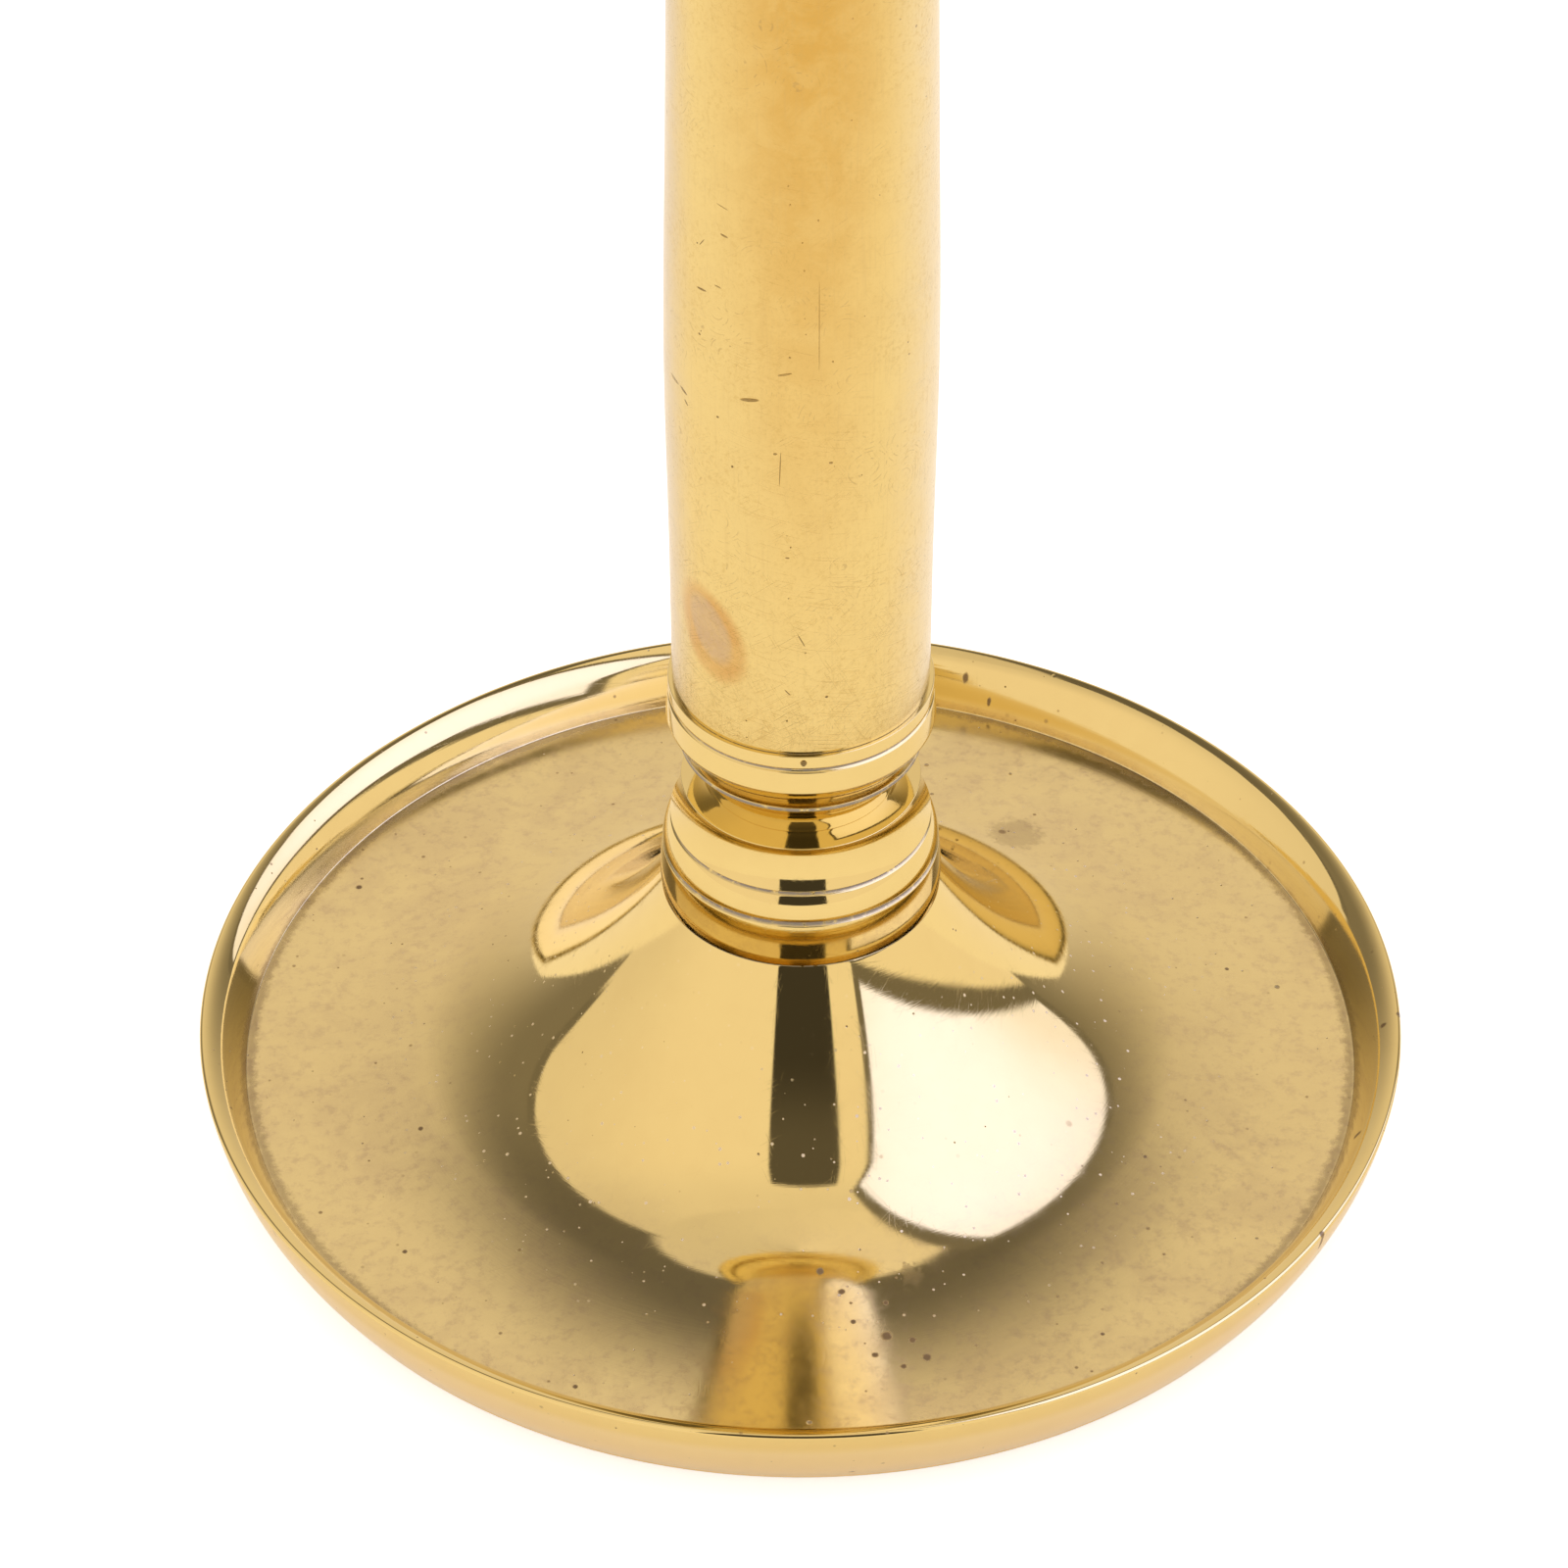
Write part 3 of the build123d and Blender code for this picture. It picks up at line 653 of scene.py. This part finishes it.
def stem_wear_and_painted_reflection(g, color, rough, where, radius, angle, up):
    """Painted reflection and shade: amber towards the top and along the front, paler at the right side
    and greyer at the left, for what the stem mirrors; with real grain, specks and streaks.
    """
    # painted reflection: a warm amber stripe down the front, stronger towards the top, stands in for
    # what the stem mirrors in front of it
    aside = g.math("ABSOLUTE", g.math("SUBTRACT", angle, 0.05))
    front = g.ramp(aside, g.ramp(up, 84, 165, 0.55, 1.0), 0.05)
    painted_front_reflection = g.math("MULTIPLY", front, g.ramp(up, 78, 165, 0.0, 1.0, smooth=False))
    color = g.mix_color(painted_front_reflection, color, (0.66, 0.42, 0.105, 1))
    # painted highlight on the right side and painted shade on the left, for how the light falls on the
    # stem's two sides
    to_back = g.ramp(g.math("ABSOLUTE", angle), 2.9, 1.7)
    painted_right_highlight = g.math("MULTIPLY", g.ramp(angle, 0.55, 1.35, 0.0, 0.75), to_back)
    color = g.mix_color(painted_right_highlight, color, (0.80, 0.72, 0.52, 1))
    painted_left_shade = g.math("MULTIPLY", g.ramp(angle, -0.85, -1.40, 0.0, 0.85), to_back)
    color = g.mix_color(painted_left_shade, color, (0.63, 0.55, 0.40, 1))

    clouds = g.ramp(g.noise(where, 0.20, 5.0, 0.68, 0.5), 0.40, 0.66)
    color = g.mix_color(g.math("MULTIPLY", clouds, 0.25), color, (0.84, 0.67, 0.28, 1))
    grain = g.ramp(g.noise(where, 1.7, 5.0, 0.75, 0.4), 0.47, 0.68)
    worn = g.ramp(g.noise(where, 0.13, 3.0, 0.6), 0.36, 0.62, 0.30, 1.0)
    grain = g.math("MULTIPLY", g.math("MULTIPLY", grain, worn), 0.42)
    color = g.mix_color(grain, color, (0.60, 0.42, 0.13, 1))
    stretched = g.vector("MULTIPLY", where, (2.6, 2.6, 0.10))
    streaks = g.ramp(g.noise(stretched, 1.0, 3.0, 0.6), 0.52, 0.72)
    color = g.mix_color(g.math("MULTIPLY", streaks, 0.14), color, (0.58, 0.42, 0.18, 1))

    # arcs left by rubbing, in patches
    swirl = g.node("ShaderNodeTexVoronoi", {"Vector": where, "Scale": 0.16}, feature="F1")
    rings = g.math("SINE", g.math("MULTIPLY", swirl.outputs["Distance"], 70.0))
    patch = g.ramp(g.noise(where, 0.11, 2.0, 0.5), 0.50, 0.62)
    broken = g.ramp(g.noise(where, 1.1, 2.0, 0.5), 0.50, 0.60)
    arcs = g.math("MULTIPLY", g.ramp(rings, 0.80, 0.98), g.math("MULTIPLY", patch, broken))
    color = g.mix_color(g.math("MULTIPLY", arcs, 0.40), color, SCRATCH)
    rough = g.math("ADD", rough, g.math("MULTIPLY", grain, 0.15))
    return color, rough


def aged(name, base, worn, rough, metallic, grain):
    """Rough metal or leather for the hidden fittings; grain is the size of the wear in mm."""
    material = bpy.data.materials.new(name)
    material.use_nodes = True
    g = Graph(material.node_tree)
    where = turned_place(g)[0]
    broad = g.ramp(g.noise(where, 0.3 / grain, 4.0, 0.6), 0.40, 0.66)
    fine = g.noise(where, 3.0 / grain, 4.0, 0.7)
    wear = g.math("MULTIPLY", broad, g.ramp(fine, 0.35, 0.60))
    color = g.mix_color(wear, base, worn)
    roughness = g.math("ADD", g.math("MULTIPLY", wear, 0.22), rough)
    finish(g, color, roughness, metallic, g.math("SUBTRACT", fine, wear), 0.03 * MM * grain)
    return material


# ---------------------------------------------------------------- turned pieces

def unevenness(amount, scale=0.05, seed=0.0):
    """Slight hand-finished waviness of a turned surface."""
    def move(r, azimuth, z):
        x, y = r * math.sin(azimuth), -r * math.cos(azimuth)
        place = Vector((x * scale, y * scale, z * scale + seed))
        shift = amount * noise.noise(place)
        return r + shift * 0.7, z + shift * 0.7
    return move


def base_pan():
    crown = (16.9, CROWN_Z)
    floor, crease = falling_arcs(crown, (60.1, 41.2, 10.9, 0.4), (75.0, 31.0, 123.3))
    top = (74.55, 11.6)
    side = (75.0, 11.0)
    outline = floor
    outline += arc(crease, (70.65, 7.57), (72.1, 10.0), 0.4)
    outline += arc((72.1, 10.0), (73.25, 11.05), top, 0.3)
    outline += arc(top, (74.9, 11.45), side, 0.15)
    outline += arc(side, (73.4, 5.4), (70.6, 0.5), 0.7)
    outline += arc((70.6, 0.5), (70.45, 0.15), (70.1, 0.0), 0.2)
    outline += corners((70.1, 0.0), (68.0, 0.0), (67.6, 2.2), step=1.0)
    under = offset_below(floor, 2.4)
    under = [p for p in under if 19.5 < p[0] < 66.8][::3]
    outline += under[::-1]
    outline += corners((18.6, 30.4), (STUD_BORE_R, 30.4), (STUD_BORE_R, CROWN_Z), crown, step=2.5)
    return turned("saucer_base", "base_pan", outline, ease=0.16, shape=unevenness(0.05))


def base_collar():
    low = groove(*LOW_GROOVE)[::-1]
    high = groove(*HIGH_GROOVE)[::-1]
    foot, tip = (17.1, CROWN_Z), (NECK_TIP_R, COLLAR_TOP_Z)
    bore_foot, bore_top = (STUD_BORE_R, CROWN_Z), (STUD_BORE_R, COLLAR_TOP_Z)
    outline = corners(bore_foot, foot, step=2.0)
    outline += arc(foot, (17.2, 36.4), low[0], 0.2)
    outline += low[:-1]
    outline += arc(low[-1], (16.58, 42.1), high[0], 0.2)
    outline += high[:-1]
    outline += arc(high[-1], (15.0, 46.8), tip, 0.2)
    outline += corners(tip, bore_top, bore_foot, step=2.0)
    return turned("grooved_collar", "base_collar", outline, ease=0.1, shape=unevenness(0.02))


def neck_ring():
    waist, bead_foot, bead = (11.4, 50.9), (14.3, 55.5), (14.68, 56.05)
    bore_foot, bore_top = (STUD_BORE_R, COLLAR_TOP_Z), (STUD_BORE_R, NECK_TOP_Z)
    tip = (NECK_TIP_R, NECK_TOP_Z)
    outline = corners(bore_foot, (waist[0], COLLAR_TOP_Z), waist, step=0.4)
    outline += arc(waist, (12.2, 53.5), bead_foot, 0.2)
    outline += arc(bead_foot, (14.56, 55.72), bead, 0.1)
    outline += line(bead, tip, 0.1)
    outline += corners(tip, bore_top, bore_foot, step=2.0)
    return turned("waisted_neck", "neck_ring", outline, ease=0.06)


def ferrule_side(sign, joint_z, joint_r, tip_z, tip_r):
    """Outside of a ferrule from its joint with the tube to its tip; sign is +1 when it goes up."""
    cut = groove(joint_r + 0.07, joint_z + sign * FERRULE_GROOVE_OFFSET, 0.7)
    if sign > 0:
        cut = cut[::-1]
    shoulder = (joint_r + 0.3, joint_z + sign * 5.5)
    run = line((joint_r, joint_z), cut[0], 0.4) + cut[:-1] + line(cut[-1], shoulder, 0.4)
    middle = ((shoulder[0] + tip_r) / 2 - 0.35, joint_z + sign * 7.6)
    return run + arc(shoulder, middle, (tip_r, tip_z), 0.2)


def lower_ferrule():
    joint_r = 16.0
    outline = ferrule_side(-1, STEM_FOOT_Z, joint_r, NECK_TOP_Z, NECK_TIP_R)
    outline += corners((NECK_TIP_R, NECK_TOP_Z), (STUD_BORE_R, NECK_TOP_Z), (STUD_BORE_R, 60.5),
                       (12.2, 60.5), (12.2, 70.0), (SPIGOT_R, 70.0), (SPIGOT_R, STEM_FOOT_Z),
                       (joint_r, STEM_FOOT_Z), step=2.0)
    return turned("lower_ferrule_ring", "lower_ferrule", outline, ease=0.12)


def upper_ferrule():
    joint_r, tip_r = 15.35, 14.4
    outline = ferrule_side(1, STEM_TOP_Z, joint_r, DISH_FOOT_Z, tip_r)
    outline += corners((tip_r, DISH_FOOT_Z), (NOZZLE_R, DISH_FOOT_Z), (NOZZLE_R, 173.5),
                       (SPIGOT_R, 173.5), (SPIGOT_R, STEM_TOP_Z), (joint_r, STEM_TOP_Z), step=2.0)
    return turned("upper_ferrule_ring", "upper_ferrule", outline, ease=0.12)


def stem_tube():
    foot, tip, bore = (15.5, STEM_FOOT_Z), (14.9, STEM_TOP_Z), 13.7
    outline = spline([foot, (15.62, 85.0), (15.93, 115.0), (15.42, 148.0), tip])
    outline += corners(tip, (bore, STEM_TOP_Z), (bore, STEM_FOOT_Z), foot, step=4.0)
    return turned("stem_sleeve", "stem_tube", outline, ease=0.12, shape=unevenness(0.05, 0.03, 9.0))


def drip_pan():
    foot, bend = (14.7, DISH_FOOT_Z), (28.0, 199.0)
    rim_out, rim_top, rim_in = (34.0, 202.7), (33.3, 203.4), (32.6, 202.8)
    inner_bend, floor = (29.0, 200.9), (17.5, DISH_TOP_Z)
    outline = arc(foot, (18.2, 195.9), bend, 0.4)
    outline += arc(bend, (31.3, 200.1), rim_out, 0.4)
    outline += arc(rim_out, (33.8, 203.2), rim_top, 0.15)
    outline += arc(rim_top, (32.8, 203.2), rim_in, 0.15)
    outline += arc(rim_in, (31.0, 201.6), inner_bend, 0.4)
    outline += arc(inner_bend, (23.5, 199.9), floor, 0.5)
    outline += corners(floor, (NOZZLE_R, DISH_TOP_Z), (NOZZLE_R, DISH_FOOT_Z), foot, step=2.0)
    return turned("drip_dish", "drip_pan", outline, ease=0.1, shape=unevenness(0.05, 0.06, 4.0))


def candle_nozzle():
    flange, waist, bead = (17.0, DISH_TOP_Z), (14.0, 202.6), (14.3, 203.6)
    lip_out, lip_in, mouth = (12.9, NOZZLE_TOP_Z), (11.75, NOZZLE_TOP_Z), (11.25, 205.5)
    plug_r, sleeve_r, sleeve_foot_z = 12.0, 12.7, 173.0
    outline = arc(flange, (14.6, 200.8), waist, 0.25)
    outline += line(waist, bead, 0.3)
    outline += arc(bead, (14.4, 205.1), lip_out, 0.2)
    outline += corners(lip_out, lip_in, mouth, step=0.4)
    outline += corners(mouth, (mouth[0], STEM_TOP_Z), (plug_r, STEM_TOP_Z), (plug_r, sleeve_foot_z),
                       (sleeve_r, sleeve_foot_z), (sleeve_r, DISH_TOP_Z), flange, step=2.0)
    return turned("nozzle_sleeve", "candle_nozzle", outline, ease=0.14)


def camera():
    """Long lens from 40 degrees above, with the foot of the stem in the middle of the picture."""
    data = bpy.data.cameras.new("photo_camera")
    data.sensor_width = 36.0
    data.lens = 152.5
    data.clip_start = 0.05
    data.clip_end = 50.0
    obj = bpy.data.objects.new("photo_camera", data)
    bpy.context.scene.collection.objects.link(obj)
    obj.location = (-0.00204, -0.6189, 0.5673)
    obj.rotation_euler = (math.radians(50.0), 0.0, 0.0)
    bpy.context.scene.camera = obj


# ---------------------------------------------------------------- build

# (azimuth, height, length, width, tilt)
STEM_MARKS = (
    (-35, 142.3, 1.7, 0.14, -12), (-34, 138.5, 1.1, 0.28, -8), (-46, 136.2, 1.4, 0.12, 55),
    (-46, 129.8, 1.6, 0.30, 6), (-37, 131.3, 1.0, 0.20, -4), (-47, 123.5, 0.4, 0.30, 0),
    (-66, 114.0, 2.3, 0.45, -4), (-58, 113.8, 1.6, 0.40, -18), (-56, 112.4, 0.9, 0.30, -38),
    (-22, 117.1, 2.5, 0.50, 12), (-7, 121.4, 1.7, 0.28, 16), (7, 128.0, 13.0, 0.10, 90),
    (-9, 108.0, 5.2, 0.12, 88), (-11, 110.1, 0.5, 0.28, 10), (12, 108.8, 0.5, 0.32, 0),
    (-30, 106.9, 0.4, 0.30, 60), (-5, 123.8, 0.3, 0.25, 0), (-37, 113.2, 0.4, 0.28, 20),
    (0, 82.8, 2.0, 0.14, -64), (-6, 74.9, 1.1, 0.16, -50), (-6, 95.1, 0.5, 0.22, 0),
    (11, 74.1, 0.4, 0.30, 0),
)

# (radius, azimuth, size)
SAUCER_SPOTS = (
    (43.8, 3, 0.6), (46.7, 6, 0.5), (53.8, 11, 0.85), (55.0, 14, 0.6), (58.7, 12, 0.5),
    (57.9, 15, 0.7), (56.4, 9, 0.5), (51.2, 7, 0.4), (49.0, 12, 0.45), (71.6, 162, 0.5),
    (70.4, 159, 0.35), (72.9, 88, 0.5), (71.6, 73, 0.6), (70.1, 61, 0.5), (61.0, -52, 0.4),
    (50.0, -70, 0.45), (64.5, -118, 0.5), (56.0, 104, 0.4), (48.0, 62, 0.35), (63.0, 35, 0.35),
    (66.0, -24, 0.45), (74.9, 89, 0.55), (74.9, 57, 0.5),
)
SAUCER_BLOTCHES = ((46.0, 17, 1.8), (47.8, 144, 4.2))

STAIN = (-44, 80.5, 10.5, 14.5, -62)
CROWN_JOINT = (CROWN_Z + 0.1, 0.14)   # (height, spread) of a thin line of polish

pan_brass = brass(
    "brass_saucer", gloss=0.025, dull=0.09, scratches=0.06, pits=0.8, turning=0.1,
    residue=(CROWN_JOINT,), extra=saucer_wear)
collar_brass = brass(
    "brass_collar", gloss=0.03, scratches=0.06, pits=0.15, turning=0.05,
    residue=(CROWN_JOINT, (LOW_GROOVE[1], 0.48), (HIGH_GROOVE[1], 0.36), (56.15, 0.3),
             (STEM_FOOT_Z - FERRULE_GROOVE_OFFSET, 0.25)),
    marks=((1, 64.6, 0.8, 0.9, 0),))
stem_brass = brass(
    "brass_stem", gloss=0.12, scratches=0.5, pits=0.9, turning=0.1,
    residue=((STEM_FOOT_Z, 0.15),), marks=STEM_MARKS, stain=STAIN, extra=stem_wear_and_painted_reflection)
top_brass = brass(
    "brass_top", gloss=0.10, scratches=0.6, pits=0.3, turning=0.2,
    residue=((STEM_TOP_Z + FERRULE_GROOVE_OFFSET, 0.35), (STEM_TOP_Z, 0.12), (DISH_FOOT_Z, 0.12)))
fitting = aged("brass_fitting", (0.62, 0.46, 0.19, 1), (0.36, 0.25, 0.11, 1), 0.34, 1.0, 1.0)
knob = aged("brass_knob", (0.72, 0.54, 0.22, 1), (0.42, 0.29, 0.12, 1), 0.22, 1.0, 1.4)
iron = aged("iron_rusty", (0.16, 0.14, 0.13, 1), (0.20, 0.075, 0.03, 1), 0.55, 0.7, 1.2)
steel = aged("steel_rod", (0.50, 0.49, 0.47, 1), (0.30, 0.24, 0.19, 1), 0.28, 1.0, 0.8)
leather = aged("leather_packing", (0.16, 0.09, 0.045, 1), (0.07, 0.04, 0.02, 1), 0.75, 0.0, 0.7)
OTHER_NODES = {
    "ejector_knob": knob, "base_washer": iron, "base_nut": iron, "ejector_rod": steel,
    "knob_pin": steel, "friction_packing": leather,
}

for make, node, slot, material in (
    (base_pan, "base_pan", "base_brass", pan_brass),
    (base_collar, "base_collar", "collar_brass", collar_brass),
    (neck_ring, "neck_ring", "collar_brass", collar_brass),
    (lower_ferrule, "lower_ferrule", "collar_brass", collar_brass),
    (stem_tube, "stem_tube", "stem_brass", stem_brass),
    (upper_ferrule, "upper_ferrule", "top_brass", top_brass),
    (drip_pan, "drip_pan", "top_brass", top_brass),
    (candle_nozzle, "candle_nozzle", "top_brass", top_brass),
):
    piece = make()
    piece.data.materials.append(material)
    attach(piece, "holder")
    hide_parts(node)

for name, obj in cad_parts.items():
    for index in range(len(obj.material_slots)):
        obj.material_slots[index].material = OTHER_NODES.get(name, fitting)

studio_world()
studio_floor()
camera()
bpy.context.scene.view_settings.view_transform = "Standard"
